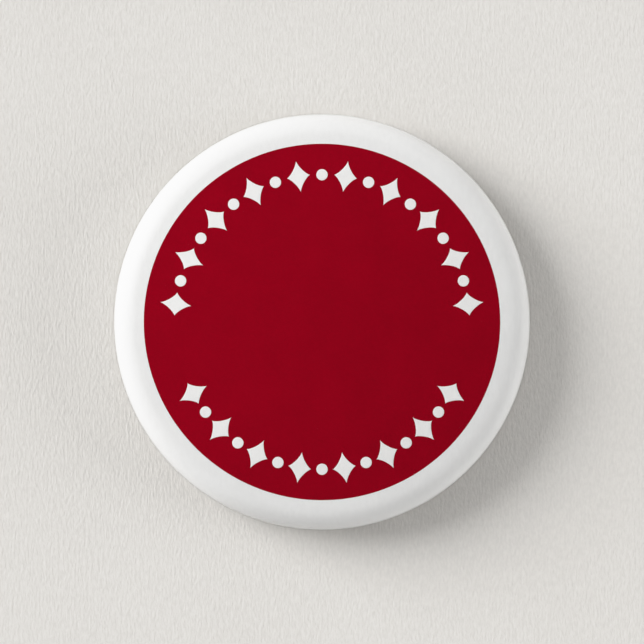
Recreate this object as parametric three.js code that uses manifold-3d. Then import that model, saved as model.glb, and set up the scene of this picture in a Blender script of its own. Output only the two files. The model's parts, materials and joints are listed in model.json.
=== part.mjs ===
// A round pin-back button badge: a stamped steel shell under a printed paper sheet and a clear film,
// all three hemmed over a stamped back plate that carries a safety pin in two lanced straps.
// Millimetres, +Z up. The badge lies face up on its pin: the origin is on the badge's axis, at the
// lowest plane, where the pin's cap and coil touch the table. The pin's wire runs along X.

import * as THREE from "three";
import { mergeVertices } from "three/addons/utils/BufferGeometryUtils.js";
import Module from "manifold-3d";

const wasm = await Module();
wasm.setup();

const DEG = Math.PI / 180;

// Badge body
const badgeDiameter = 31.8;
const rimHeight = 0.8; // the hem's rear face above the table
const crownRadius = 88; // sphere of the slightly domed face
const shoulderRadius = 2.1; // where the face turns down into the side wall
const wallHeight = 0.2; // straight side wall between shoulder and hem corner
const hemCornerRadius = 0.9; // where the side wall turns in to the hem
const hemReach = 2.0; // from the outer edge in to the shell's own lip
const tuckGap = 0.1; // end of the folded-back film and paper to the hem's corner

// Sheet gauges
const filmGauge = 0.08;
const paperGauge = 0.12;
const shellGauge = 0.25;
const plateGauge = 0.25;
const layGap = 0.02; // between sheets that lie on each other

// Back plate
const ledgeWidth = 0.33; // flat of the flange that shows inside the hem
const stepRun = 0.7; // radial run of the stamped step from the flange to the dish
const flangePlay = 0.06; // plate's edge to the shell's inner wall
const swingClearance = 0.12; // dish to the cap as the pin swings out

// Safety pin
const wireDiameter = 0.75;
const coilMeanRadius = 1.5;
const coilLayerGap = 0.05; // between the coil's two layers
const pinEndClearance = 1.1; // each end of the pin to the hem's inner edge
const pinWidth = 5.95; // across the cap
const capLength = 4.2;
const capSheet = 0.25;
const capPlay = 0.05; // between the cap's sheet and the wires in it
const capCornerRadius = 1.3;
const needlePointLength = 3.6;
const needleBow = 1.6; // needle's slope as it leaves the coil, as a multiple of its mean slope
const needleTipRadius = 0.06;
const tipGap = 0.5; // needle's point to the inside of the cap's end
const slotTipClearance = 0.25; // cap's slot beyond the needle's point
const slotInnerReach = 1.6; // cap's slot, in from the needle's axis
const lipReach = 0.3; // cap's hooked lip starts this far out from the needle's axis
const wireJointGap = 0.3; // between the lengths of wire at the coil
const spineJog = 1.8; // length over which the fixed wire drops into the cap

// Straps lanced from the plate round the fixed wire
const strapWidth = 1.6;
const strapJogClearance = 1.8; // strap to the start of the wire's drop
const strapPlay = 0.08;
const strapFoot = 1.5; // wire's axis to the strap's root in the plate
const slitWidth = 0.12;

// Facets
const roundSides = 36;
const wireSides = 10;

const badgeRadius = badgeDiameter / 2;
const wireRadius = wireDiameter / 2;
const paperDepth = filmGauge + layGap;
const shellDepth = paperDepth + paperGauge + layGap;
const skinDepth = shellDepth + shellGauge; // film's outside to the shell's inside
const lipMiddle = shellDepth + shellGauge / 2; // depth of the shell's middle, which the skins fold round
const lipRadius = badgeRadius - hemReach;
const hemInnerRadius = lipRadius - lipMiddle;
const cornerX = badgeRadius - hemCornerRadius;
const cornerZ = rimHeight + hemCornerRadius;

const capThickness = wireDiameter + 2 * (capPlay + capSheet);
const capMiddleZ = capThickness / 2;
const coilLowZ = wireRadius;
const coilHighZ = coilLowZ + wireDiameter + coilLayerGap;
const spineY = -(pinWidth / 2 - capThickness / 2);
const needleY = -spineY;
const capEndX = hemInnerRadius - pinEndClearance;
const capMouthX = capEndX - capLength;
const coilX = -(capEndX - coilMeanRadius - wireRadius);
const coilY = spineY + coilMeanRadius;
const jogStartX = capMouthX - spineJog;
const tipX = capEndX - capSheet - tipGap;
const strapX = jogStartX - strapJogClearance - strapWidth / 2;

const flangeZ = rimHeight + 2 * lipMiddle + layGap;
const dishZ = coilHighZ + capThickness / 2 + swingClearance;

// Points of an arc round (x, y), from one angle to another in degrees, ends included.
function arc(x, y, radius, fromDeg, toDeg, steps) {
  return Array.from({ length: steps + 1 }, (_, i) => {
    const angle = (fromDeg + ((toDeg - fromDeg) * i) / steps) * DEG;
    return new THREE.Vector2(x + radius * Math.cos(angle), y + radius * Math.sin(angle));
  });
}

// A polyline moved sideways by a distance to its left, with mitred corners.
function offsetLine(points, distance) {
  const normalOf = (a, b) => {
    const along = b.clone().sub(a).normalize();
    return new THREE.Vector2(-along.y, along.x);
  };
  return points.map((point, i) => {
    const before = normalOf(points[Math.max(i - 1, 0)], points[Math.max(i, 1)]);
    const last = points.length - 1;
    const after = normalOf(points[Math.min(i, last - 1)], points[Math.min(i + 1, last)]);
    const middle = before.clone().add(after).normalize();
    return point.clone().addScaledVector(middle, distance / middle.dot(after));
  });
}

// A solid of revolution about Z from a closed profile of (radius, height).
function revolve(profile) {
  const closed = profile[0].x === 0 ? profile : [...profile, profile[0]];
  return new THREE.LatheGeometry(closed, roundSides).rotateX(Math.PI / 2);
}

function toSolid(geometry) {
  const bare = geometry.clone();
  bare.deleteAttribute("normal");
  bare.deleteAttribute("uv");
  const merged = mergeVertices(bare, 1e-4);
  const mesh = new wasm.Mesh({
    numProp: 3,
    vertProperties: merged.attributes.position.array,
    triVerts: new Uint32Array(merged.index.array),
  });
  return new wasm.Manifold(mesh);
}

function toGeometry(solid) {
  const mesh = solid.getMesh();
  const geometry = new THREE.BufferGeometry();
  geometry.setAttribute("position", new THREE.BufferAttribute(mesh.vertProperties, 3));
  geometry.setIndex(new THREE.BufferAttribute(mesh.triVerts, 1));
  geometry.computeVertexNormals();
  return geometry;
}

function block(low, high) {
  const size = high.clone().sub(low);
  const middle = high.clone().add(low).multiplyScalar(0.5);
  return new THREE.BoxGeometry(size.x, size.y, size.z).translate(middle.x, middle.y, middle.z);
}

// Outline of the badge's face, side and hem at a depth below the film's outer surface,
// from the crown's top to the shell's lip.
function bodyOutline(depth) {
  const shoulderX = badgeRadius - shoulderRadius;
  const shoulderZ = cornerZ + wallHeight;
  const crownDrop = Math.sqrt((crownRadius - shoulderRadius) ** 2 - shoulderX ** 2);
  const tangentDeg = Math.atan2(crownDrop, shoulderX) / DEG;
  const crown = arc(0, shoulderZ - crownDrop, crownRadius - depth, 90, tangentDeg, 3);
  crown[0].x = 0;
  return [
    ...crown.slice(0, -1),
    ...arc(shoulderX, shoulderZ, shoulderRadius - depth, tangentDeg, 0, 5),
    ...arc(cornerX, cornerZ, hemCornerRadius - depth, 0, -90, 4),
    new THREE.Vector2(lipRadius, rimHeight + depth),
  ];
}

// The same outline for a skin that folds round the shell's lip and back over it.
function skinOutline(depth) {
  const foldZ = rimHeight + lipMiddle;
  const fold = arc(lipRadius, foldZ, lipMiddle - depth, -90, -270, 4);
  const tuckEnd = new THREE.Vector2(cornerX - tuckGap, foldZ + lipMiddle - depth);
  return [...bodyOutline(depth), ...fold.slice(1), tuckEnd];
}

function filmCover() {
  return revolve([...skinOutline(filmGauge), ...skinOutline(0).reverse()]);
}

function printSheet() {
  return revolve([...skinOutline(paperDepth + paperGauge), ...skinOutline(paperDepth).reverse()]);
}

function frontShell() {
  return revolve([...bodyOutline(skinDepth), ...bodyOutline(shellDepth).reverse()]);
}

// Turns a section drawn in (Y, Z) and extruded along its own third axis to lie along X.
const sectionAxes = new THREE.Matrix4().makeBasis(
  new THREE.Vector3(0, 1, 0),
  new THREE.Vector3(0, 0, 1),
  new THREE.Vector3(1, 0, 0),
);

function extrudeAlongX(section, fromX, toX) {
  const bar = new THREE.ExtrudeGeometry(section, { depth: toX - fromX, bevelEnabled: false });
  return bar.applyMatrix4(sectionAxes).translate(fromX, 0, 0);
}

// A strap's section across the wire: roots in the plate, two legs and an arch behind the wire.
function strapSection() {
  const sheetZ = dishZ + plateGauge / 2;
  const archRadius = wireRadius + strapPlay + plateGauge / 2;
  const centreline = [
    new THREE.Vector2(spineY - strapFoot - slitWidth, sheetZ),
    new THREE.Vector2(spineY - strapFoot, sheetZ),
    ...arc(spineY, coilHighZ, archRadius, 180, 360, 8),
    new THREE.Vector2(spineY + strapFoot, sheetZ),
    new THREE.Vector2(spineY + strapFoot + slitWidth, sheetZ),
  ];
  const rear = offsetLine(centreline, -plateGauge / 2);
  const front = offsetLine(centreline, plateGauge / 2);
  return new THREE.Shape([...rear, ...front.reverse()]);
}

function strapWindow(x) {
  const halfWidth = strapWidth / 2 + slitWidth;
  return block(
    new THREE.Vector3(x - halfWidth, spineY - strapFoot, dishZ - plateGauge),
    new THREE.Vector3(x + halfWidth, spineY + strapFoot, dishZ + 2 * plateGauge),
  );
}

function backPlate() {
  const dishRadius = hemInnerRadius - ledgeWidth - stepRun;
  const insideCorner = hemCornerRadius - skinDepth;
  const edgeDrop = Math.max(cornerZ - flangeZ, 0);
  const edgeRadius = cornerX + Math.sqrt(insideCorner ** 2 - edgeDrop ** 2) - flangePlay;
  const rear = [
    new THREE.Vector2(0, dishZ),
    new THREE.Vector2(dishRadius, dishZ),
    new THREE.Vector2(dishRadius + stepRun, flangeZ),
    new THREE.Vector2(edgeRadius, flangeZ),
  ];
  const front = offsetLine(rear, plateGauge);
  let plate = toSolid(revolve([...rear, ...front.reverse()]));
  for (const x of [-strapX, strapX]) {
    const strap = extrudeAlongX(strapSection(), x - strapWidth / 2, x + strapWidth / 2);
    plate = plate.subtract(toSolid(strapWindow(x))).add(toSolid(strap));
  }
  return toGeometry(plate);
}

// A length of round wire along a path.
function wire(path, steps) {
  const section = new THREE.Shape(arc(0, 0, wireRadius, 0, 360, wireSides).slice(1));
  return new THREE.ExtrudeGeometry(section, { steps, extrudePath: path, bevelEnabled: false });
}

// The coil leaves the fixed wire in its high layer, keeps to it for half a turn, steps down to the
// low layer over the next half turn and ends one and a half turns on, where the needle begins.
class CoilPath extends THREE.Curve {
  constructor(fromSweep, toSweep) {
    super();
    this.fromSweep = fromSweep;
    this.toSweep = toSweep;
  }

  getPoint(t, target = new THREE.Vector3()) {
    const sweep = THREE.MathUtils.lerp(this.fromSweep, this.toSweep, t);
    const angle = -Math.PI / 2 - sweep;
    const step = THREE.MathUtils.smoothstep(sweep, Math.PI, 2 * Math.PI);
    return target.set(
      coilX + coilMeanRadius * Math.cos(angle),
      coilY + coilMeanRadius * Math.sin(angle),
      THREE.MathUtils.lerp(coilHighZ, coilLowZ, step),
    );
  }
}

// Angle at which the needle leaves the coil, away from the fixed wire.
const needleSplay = Math.atan2(needleBow * (needleY - coilY - coilMeanRadius), capMouthX - coilX);
const coilSweep = 3 * Math.PI - needleSplay;

function pinCoil() {
  const gapSweep = wireJointGap / 2 / coilMeanRadius;
  return wire(new CoilPath(gapSweep, coilSweep - gapSweep), 30);
}

function pinSpine() {
  const start = new THREE.Vector3(coilX + wireJointGap / 2, spineY, coilHighZ);
  const jogStart = new THREE.Vector3(jogStartX, spineY, coilHighZ);
  const jogEnd = new THREE.Vector3(capMouthX, spineY, capMiddleZ);
  const end = new THREE.Vector3(capEndX - capCornerRadius, spineY, capMiddleZ);
  const jogHalf = new THREE.Vector3(spineJog / 2, 0, 0);
  const path = new THREE.CurvePath();
  path.add(new THREE.LineCurve3(start, jogStart));
  path.add(
    new THREE.CubicBezierCurve3(
      jogStart,
      jogStart.clone().add(jogHalf),
      jogEnd.clone().sub(jogHalf),
      jogEnd,
    ),
  );
  path.add(new THREE.LineCurve3(jogEnd, end));
  return wire(path, 36);
}

// The needle's shaft bows from the coil to the cap's mouth; its ground point lies inside the cap.
function pinNeedle() {
  const coilEnd = new CoilPath(0, coilSweep).getPoint(1);
  const outward = new THREE.Vector3(Math.cos(needleSplay), Math.sin(needleSplay), 0);
  const root = coilEnd.addScaledVector(outward, wireJointGap / 2);
  const pointBase = new THREE.Vector3(tipX - needlePointLength, needleY, capMiddleZ);
  const third = root.distanceTo(pointBase) / 3;
  const alongX = new THREE.Vector3(1, 0, 0);
  const shaftPath = new THREE.CubicBezierCurve3(
    root,
    root.clone().addScaledVector(outward, third),
    pointBase.clone().addScaledVector(alongX, -third),
    pointBase,
  );
  const steps = 6;
  const profile = Array.from({ length: steps + 1 }, (_, i) => {
    const reach = i / steps;
    const taper = Math.sqrt(1 - reach ** 2);
    return new THREE.Vector2(
      THREE.MathUtils.lerp(needleTipRadius, wireRadius, taper),
      needlePointLength * reach,
    );
  });
  const base = new THREE.Vector2(0, 0);
  const tip = new THREE.Vector2(0, needlePointLength);
  const point = new THREE.LatheGeometry([base, ...profile, tip], wireSides);
  point.rotateZ(-Math.PI / 2).rotateX(Math.PI / wireSides);
  point.translate(pointBase.x, pointBase.y, pointBase.z);
  return toGeometry(toSolid(wire(shaftPath, 16)).add(toSolid(point)));
}

// The cap's outer form less an inset: a flat tube along X with round edges and rounded far corners.
function capForm(inset, mouthX) {
  const halfWidth = pinWidth / 2 - inset;
  const edge = capThickness / 2 - inset;
  const section = new THREE.Shape([
    ...arc(halfWidth - edge, capMiddleZ, edge, -90, 90, 8),
    ...arc(edge - halfWidth, capMiddleZ, edge, 90, 270, 8),
  ]);
  const corner = capCornerRadius - inset;
  const endX = capEndX - inset;
  const plan = new THREE.Shape([
    new THREE.Vector2(mouthX, -halfWidth),
    ...arc(endX - corner, corner - halfWidth, corner, -90, 0, 5),
    ...arc(endX - corner, halfWidth - corner, corner, 0, 90, 5),
    new THREE.Vector2(mouthX, halfWidth),
  ]);
  const slab = new THREE.ExtrudeGeometry(plan, { depth: 2 * capThickness, bevelEnabled: false });
  const tube = extrudeAlongX(section, mouthX, endX);
  return toSolid(tube).intersect(toSolid(slab.translate(0, 0, -capMiddleZ)));
}

// The cap grips the fixed wire's end and shields the needle's point. A slot in its rear face lets the
// needle out, past a hooked lip along the outer edge.
function pinCap() {
  const slot = block(
    new THREE.Vector3(capMouthX - capSheet, needleY - slotInnerReach, -capMiddleZ),
    new THREE.Vector3(tipX + slotTipClearance, needleY + lipReach, capMiddleZ),
  );
  const hollow = capForm(capSheet, capMouthX - capSheet);
  return toGeometry(capForm(0, capMouthX).subtract(hollow).subtract(toSolid(slot)));
}

const finishes = {
  film: { color: 0xffffff, roughness: 0.08, metalness: 0, transparent: true, opacity: 0.15 },
  paper: { color: 0xefecea, roughness: 0.6, metalness: 0 },
  tinplate: { color: 0xb9bcc0, roughness: 0.32, metalness: 1 },
  nickel: { color: 0xc9c6c0, roughness: 0.18, metalness: 1 },
};

const badge = new THREE.Group();

function add(name, geometry, finish) {
  const mesh = new THREE.Mesh(geometry, new THREE.MeshStandardMaterial(finishes[finish]));
  mesh.name = name;
  badge.add(mesh);
}

add("film_cover", filmCover(), "film");
add("print_sheet", printSheet(), "paper");
add("front_shell", frontShell(), "tinplate");
add("back_plate", backPlate(), "tinplate");
add("pin_spine", pinSpine(), "nickel");
add("pin_coil", pinCoil(), "nickel");
add("pin_needle", pinNeedle(), "nickel");
add("pin_cap", pinCap(), "nickel");

export default badge;
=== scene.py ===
"""The pieces of a round pin-back button badge: clear film, printed sheet, pressed shell, back plate
and safety pin, each made round the solid that the frame holds for it. Laid out as an add-on, run as
a script."""

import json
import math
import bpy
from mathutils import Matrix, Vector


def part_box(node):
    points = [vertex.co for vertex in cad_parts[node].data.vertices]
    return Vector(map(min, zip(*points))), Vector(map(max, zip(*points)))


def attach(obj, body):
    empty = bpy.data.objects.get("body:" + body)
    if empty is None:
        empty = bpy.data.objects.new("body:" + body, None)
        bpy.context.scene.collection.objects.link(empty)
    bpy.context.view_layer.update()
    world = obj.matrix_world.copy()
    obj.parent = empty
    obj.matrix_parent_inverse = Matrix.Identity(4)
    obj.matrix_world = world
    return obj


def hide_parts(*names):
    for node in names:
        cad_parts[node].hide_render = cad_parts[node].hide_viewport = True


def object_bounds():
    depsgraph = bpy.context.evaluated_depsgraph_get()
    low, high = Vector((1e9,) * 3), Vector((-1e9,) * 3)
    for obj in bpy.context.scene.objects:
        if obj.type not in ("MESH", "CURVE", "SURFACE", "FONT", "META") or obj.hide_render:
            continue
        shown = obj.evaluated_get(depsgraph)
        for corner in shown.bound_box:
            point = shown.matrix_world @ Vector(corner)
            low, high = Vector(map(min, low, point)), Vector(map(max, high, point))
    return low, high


bl_info = {
    "name": "Pin-back Button Badge",
    "version": (1, 0, 0),
    "blender": (4, 5, 0),
    "location": "3D View > Sidebar > Badge",
    "description": "Builds the printed, pressed and plated pieces of a pin-back button badge",
    "category": "Add Mesh",
}

from typing import NamedTuple

import bmesh
import bpy
from bpy.props import FloatProperty, FloatVectorProperty, IntProperty, PointerProperty
from mathutils import Vector, geometry

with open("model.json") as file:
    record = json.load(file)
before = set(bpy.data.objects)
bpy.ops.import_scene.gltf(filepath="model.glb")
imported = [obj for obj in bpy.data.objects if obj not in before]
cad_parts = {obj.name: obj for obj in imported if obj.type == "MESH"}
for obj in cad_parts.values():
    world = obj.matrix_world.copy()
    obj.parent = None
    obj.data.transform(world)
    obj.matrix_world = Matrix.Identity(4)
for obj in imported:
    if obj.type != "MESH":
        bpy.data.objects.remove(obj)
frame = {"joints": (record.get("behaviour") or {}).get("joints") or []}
CAD_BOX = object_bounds()
MM = 0.001
SHARP = math.radians(40)  # steeper folds than this stay crisp


def joint_place(name):
    """The point that a joint of the frame turns about."""
    return Vector(next(j for j in frame["joints"] if j["name"] == name)["pos_m"])


FILM_LOW, FILM_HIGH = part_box("film_cover")
PLATE_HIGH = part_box("back_plate")[1]
CAP_LOW, CAP_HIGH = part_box("pin_cap")
SPINE_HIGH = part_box("pin_spine")[1]
NEEDLE_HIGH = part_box("pin_needle")[1]
SPINE_AXIS = joint_place("pin_swivel")
COIL_CENTRE = joint_place("needle_squeeze")
NEEDLE_ROOT = joint_place("needle_open")


def length_prop(name, description, millimetres):
    """A length that the user can change, given in millimetres."""
    return FloatProperty(
        name=name,
        description=description,
        default=millimetres * MM,
        min=0.0,
        precision=5,
        unit="LENGTH",
    )


def angle_prop(name, description, degrees):
    """An angle that the user can change, given in degrees."""
    return FloatProperty(
        name=name, description=description, default=math.radians(degrees), subtype="ANGLE"
    )


def number_prop(name, description, default):
    """A plain number that the user can change."""
    return FloatProperty(name=name, description=description, default=default)


def colour_prop(name, description, rgb):
    """A linear colour that the user can change."""
    return FloatVectorProperty(
        name=name, description=description, default=rgb, subtype="COLOR", min=0.0, max=1.0
    )


class BadgeBody(bpy.types.PropertyGroup):
    """Sizes of the pressed face and of what is wrapped round it."""

    crown_radius: length_prop("Crown Radius", "Sphere of the slightly domed face", 88.0)
    shoulder_radius: length_prop("Shoulder Radius", "Turn from the face into the side", 2.1)
    corner_radius: length_prop("Hem Corner Radius", "Turn from the side into the hem", 0.9)
    hem_reach: length_prop("Hem Reach", "Outer edge in to the shell's own lip", 2.0)
    tuck_gap: length_prop("Tuck Gap", "End of the folded-back sheets to the hem corner", 0.1)
    film_gauge: length_prop("Film Gauge", "Thickness of the clear film", 0.08)
    paper_gauge: length_prop("Paper Gauge", "Thickness of the printed sheet", 0.12)
    shell_gauge: length_prop("Shell Gauge", "Thickness of the shell's tinplate", 0.25)
    lay_gap: length_prop("Lay Gap", "Gap between sheets that lie on each other", 0.02)
    pleat_height: length_prop("Pleat Height", "Rise of the pleats where the sheets turn in", 0.11)
    pleats: IntProperty(name="Pleats", description="Pleats round the hem", default=58, min=0)
    segments: IntProperty(name="Segments", description="Facets round the badge", default=384)


class BadgePrint(bpy.types.PropertyGroup):
    """Sizes and colours of the printed sheet."""

    disc_radius: length_prop("Disc Radius", "Printed colour disc", 13.455)
    band_radius: length_prop("Band Radius", "Middle of the ring of printed marks", 11.1)
    star_height: length_prop("Star Height", "Four-pointed star, across the band", 2.35)
    star_width: length_prop("Star Width", "Four-pointed star, along the band", 1.75)
    pearl_size: length_prop("Pearl Size", "Round dot between two stars", 0.85)
    ink_thickness: length_prop("Ink Thickness", "Raised white ink of the marks", 0.006)
    disc_colour: colour_prop("Disc Colour", "Printed dark red", (0.311, 0.0004, 0.0105))
    paper_colour: colour_prop("Paper Colour", "Coated white paper", (0.925, 0.925, 0.92))
    mark_colour: colour_prop("Mark Colour", "Opaque white ink of the marks", (0.96, 0.955, 0.945))


class BadgePlate(bpy.types.PropertyGroup):
    """Sizes of the back plate and its straps."""

    gauge: length_prop("Plate Gauge", "Thickness of the plate's tinplate", 0.25)
    ledge_width: length_prop("Ledge Width", "Flat of the flange inside the hem", 0.33)
    step_run: length_prop("Step Run", "Radial run of the stamped step", 0.7)
    strap_width: length_prop("Strap Width", "Width of each lanced strap", 1.6)
    strap_foot: length_prop("Strap Foot", "Wire's axis to the strap's root", 1.5)
    strap_play: length_prop("Strap Play", "Wire to the inside of the strap", 0.08)
    strap_jog_clearance: length_prop("Strap Clearance", "Strap to the wire's drop", 1.8)
    slit_width: length_prop("Slit Width", "Slit beside each strap", 0.12)
    steel: colour_prop("Tinplate Colour", "Bright rolled tinplate", (0.60, 0.61, 0.62))


class BadgePin(bpy.types.PropertyGroup):
    """Sizes of the safety pin."""

    wire_diameter: length_prop("Wire Diameter", "Spring wire", 0.75)
    spine_jog: length_prop("Spine Jog", "Length over which the wire drops into the cap", 1.8)
    point_length: length_prop("Point Length", "Ground point of the needle", 3.6)
    tip_radius: length_prop("Tip Radius", "Blunt of the needle's point", 0.05)
    cap_sheet: length_prop("Cap Sheet", "Thickness of the cap's sheet", 0.25)
    cap_corner: length_prop("Cap Corner", "Radius of the cap's far corners", 1.3)
    slot_inner_reach: length_prop("Slot Reach", "Cap's slot, in from the needle", 1.6)
    lip_reach: length_prop("Lip Reach", "Needle's axis out to the cap's lip", 0.3)
    slot_tip_clearance: length_prop("Slot Clearance", "Cap's slot beyond the needle's point", 0.25)
    crimp_depth: length_prop("Crimp Depth", "Groove that grips the fixed wire", 0.14)
    nickel: colour_prop("Nickel Colour", "Plated wire and cap", (0.66, 0.645, 0.61))


class BadgeStage(bpy.types.PropertyGroup):
    """The table, the lights and the camera."""

    view_width: length_prop("View Width", "Width of the picture at the badge", 48.4)
    lens: number_prop("Lens", "Focal length in millimetres", 200.0)
    table_colour: colour_prop("Table Colour", "Pale paper-like table", (0.765, 0.745, 0.715))
    table_width: length_prop("Table Width", "Side of the square table", 8000.0)
    light_spread: angle_prop("Light Spread", "Width of each light as the badge sees it", 40)
    key_power: number_prop("Key Power", "Main light, in watts to the square metre", 3.45)
    key_bearing: angle_prop("Key Bearing", "Main light, clockwise from the badge's top", 295)
    key_elevation: angle_prop("Key Elevation", "Main light above the table", 24)
    fill_power: number_prop("Fill Power", "Second light, in watts to the square metre", 1.7)
    fill_bearing: angle_prop("Fill Bearing", "Second light, clockwise from the badge's top", 92)
    fill_elevation: angle_prop("Fill Elevation", "Second light above the table", 9)
    sky: number_prop("Sky", "Strength of the even light", 0.56)
    dark_start: number_prop("Dark Start", "Upward share of a direction where the dark begins", 0.78)
    dark_full: number_prop("Dark Full", "Upward share of a direction where it is darkest", 0.93)
    darkness: number_prop("Darkness", "How dark, 1 being black", 0.97)
    window: number_prop("Window", "Strength of the glow round the main light", 0.9)
    window_reach: angle_prop("Window Reach", "Middle of the glow to its end", 24)


# ---- Node trees ----

MIX_FACTOR, MIX_FIRST, MIX_SECOND = 0, 6, 7  # places of a colour Mix node's inputs
MIX_RESULT = 2  # place of its output


class Value:
    """A number in a node tree, which adds Math nodes where it is used in an expression."""

    def __init__(self, graph, socket):
        self.graph = graph
        self.socket = socket

    def __add__(self, other):
        return self.graph.maths("ADD", self, other)

    def __sub__(self, other):
        return self.graph.maths("SUBTRACT", self, other)

    def __rsub__(self, other):
        return self.graph.maths("SUBTRACT", other, self)

    def __mul__(self, other):
        return self.graph.maths("MULTIPLY", self, other)

    def __truediv__(self, other):
        return self.graph.maths("DIVIDE", self, other)

    def __pow__(self, other):
        return self.graph.maths("POWER", self, other)

    __radd__ = __add__
    __rmul__ = __mul__


class Graph:
    """A node tree, with one method that adds any node."""

    def __init__(self, tree):
        self.tree = tree

    def node(self, kind, settings=None, inputs=None):
        """Adds a node: its settings first, then the values or links of its sockets."""
        made = self.tree.nodes.new(kind)
        for key, value in (settings or {}).items():
            setattr(made, key, value)
        for key, value in (inputs or {}).items():
            socket = made.inputs[key]
            if isinstance(value, Value):
                self.tree.links.new(value.socket, socket)
            elif isinstance(value, bpy.types.NodeSocket):
                self.tree.links.new(value, socket)
            else:
                socket.default_value = value
        return made

    def value(self, node, output=0):
        """The number that a node gives."""
        return Value(self, node.outputs[output])

    def maths(self, operation, *values):
        """The number that a Math node makes of others."""
        settings = {"operation": operation}
        return self.value(self.node("ShaderNodeMath", settings, dict(enumerate(values))))

    def ease(self, value, start, stop):
        """0 below start, 1 above stop, smooth between."""
        inputs = {"Value": value, "From Min": start, "From Max": stop}
        settings = {"interpolation_type": "SMOOTHSTEP"}
        return self.value(self.node("ShaderNodeMapRange", settings, inputs))


class Finish(Graph):
    """A material built round one Principled shader."""

    def __init__(self, name, **constants):
        material = bpy.data.materials.new(name)
        material.use_nodes = True
        super().__init__(material.node_tree)
        self.tree.nodes.clear()
        self.material = material
        self.shader = self.node("ShaderNodeBsdfPrincipled")
        output = self.node("ShaderNodeOutputMaterial")
        self.tree.links.new(self.shader.outputs[0], output.inputs["Surface"])
        for socket, constant in constants.items():
            self.shader.inputs[socket.replace("_", " ")].default_value = constant
        self.place = self.node("ShaderNodeTexCoord").outputs["Object"]

    def drive(self, socket, value):
        """Links a value, or a node's first output, to one of the shader's sockets."""
        source = value.socket if isinstance(value, Value) else value
        self.tree.links.new(source, self.shader.inputs[socket])

    def noise(self, scale, squeeze=(1.0, 1.0, 1.0), detail=2.0, roughness=0.5):
        """Noise with about scale blotches to the metre, squeezed along X, Y and Z."""
        mapping = self.node("ShaderNodeMapping", None, {"Vector": self.place, "Scale": squeeze})
        inputs = {
            "Vector": mapping.outputs[0],
            "Scale": scale,
            "Detail": detail,
            "Roughness": roughness,
        }
        return self.value(self.node("ShaderNodeTexNoise", None, inputs))

    def tint(self, factor, rgb, dark, light):
        """Base colour that runs from a dark to a light shade of one colour."""
        first, second = ((*(min(part * shade, 1.0) for part in rgb), 1.0) for shade in (dark, light))
        inputs = {MIX_FACTOR: factor, MIX_FIRST: first, MIX_SECOND: second}
        mix = self.node("ShaderNodeMix", {"data_type": "RGBA"}, inputs)
        self.drive("Base Color", mix.outputs[MIX_RESULT])

    def bump(self, height, distance):
        """Feeds the shader's normal with bumps of height, from 0 to 1, times distance in metres."""
        node = self.node("ShaderNodeBump", None, {"Height": height, "Distance": distance})
        self.tree.links.new(node.outputs[0], self.shader.inputs["Normal"])


# ---- Finishes ----

# The film's gloss, worn as a coat by what lies under it.
FILM_GLOSS = {
    "Coat_Weight": 1.0,
    "Coat_Roughness": 0.06,
    "Coat_IOR": 1.5,
    "Specular_IOR_Level": 0.0,
}


def film_finish():
    """Clear film, hardly visible, with a faint orange peel and hairline wear."""
    film = Finish("clear_film", Alpha=0.035, IOR=1.5)
    film.tint(film.noise(900.0), (0.01,) * 3, dark=0.6, light=1.4)
    hairlines = film.ease(film.noise(2600.0, squeeze=(1.0, 0.06, 1.0), detail=3.0), 0.62, 0.72)
    film.drive("Roughness", 0.05 + film.noise(700.0) * 0.05 + hairlines * 0.12)
    film.bump(film.noise(650.0, detail=1.0), 1.2e-6)
    return film.material


def paper_finish(name, rgb):
    """Coated paper under film: fine fibres in the colour and the film's gloss as a coat."""
    paper = Finish(name, **FILM_GLOSS)
    fibre = paper.noise(3800.0, squeeze=(1.0, 0.35, 1.0), detail=4.0, roughness=0.6)
    cloud = paper.noise(260.0, detail=3.0)
    tone = paper.ease(fibre * 0.6 + cloud * 0.4, 0.3, 0.7)
    paper.tint(tone, rgb, dark=0.965, light=1.02)
    paper.drive("Roughness", 0.42 + fibre * 0.16)
    paper.bump(fibre, 1.5e-6)
    return paper.material


def ink_finish(rgb):
    """Ink on coated paper, with a faint mottle and the film's gloss as a coat."""
    ink = Finish("red_ink", **FILM_GLOSS)
    mottle = ink.noise(5200.0, detail=3.0)
    cloud = ink.noise(320.0, detail=3.0)
    tone = ink.ease(mottle * 0.5 + cloud * 0.5, 0.32, 0.68)
    ink.tint(tone, rgb, dark=0.95, light=1.06)
    ink.drive("Roughness", 0.36 + mottle * 0.16)
    ink.bump(mottle, 1.0e-6)
    return ink.material


def tinplate_finish(rgb):
    """Bright tinplate: rolling grain along X, soft clouding and small rubbed scratches."""
    tin = Finish("tinplate", Metallic=1.0)
    grain = tin.noise(260.0, squeeze=(1.0, 34.0, 34.0), detail=4.0, roughness=0.65)
    cloud = tin.noise(240.0, detail=3.0)
    scratch = tin.ease(tin.noise(900.0, squeeze=(0.5, 5.0, 1.0)), 0.66, 0.74)
    tone = tin.ease(grain * 0.5 + cloud * 0.5, 0.3, 0.7)
    tin.tint(tone, rgb, dark=0.86, light=1.08)
    tin.drive("Roughness", 0.20 + grain * 0.16 + cloud * 0.10 + scratch * 0.10)
    tin.bump(grain * 0.8 + scratch * 0.2, 2.5e-6)
    return tin.material


def wire_finish(rgb):
    """Nickel-plated drawn wire: fine draw lines along X and duller handled patches."""
    wire = Finish("nickel_wire", Metallic=1.0)
    lines = wire.noise(500.0, squeeze=(1.0, 22.0, 22.0), detail=3.0, roughness=0.6)
    patch = wire.noise(420.0, detail=3.0)
    tone = wire.ease(lines * 0.4 + patch * 0.6, 0.3, 0.7)
    wire.tint(tone, rgb, dark=0.82, light=1.06)
    wire.drive("Roughness", 0.14 + lines * 0.12 + wire.ease(patch, 0.5, 0.75) * 0.14)
    wire.bump(lines, 2.0e-6)
    return wire.material


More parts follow.
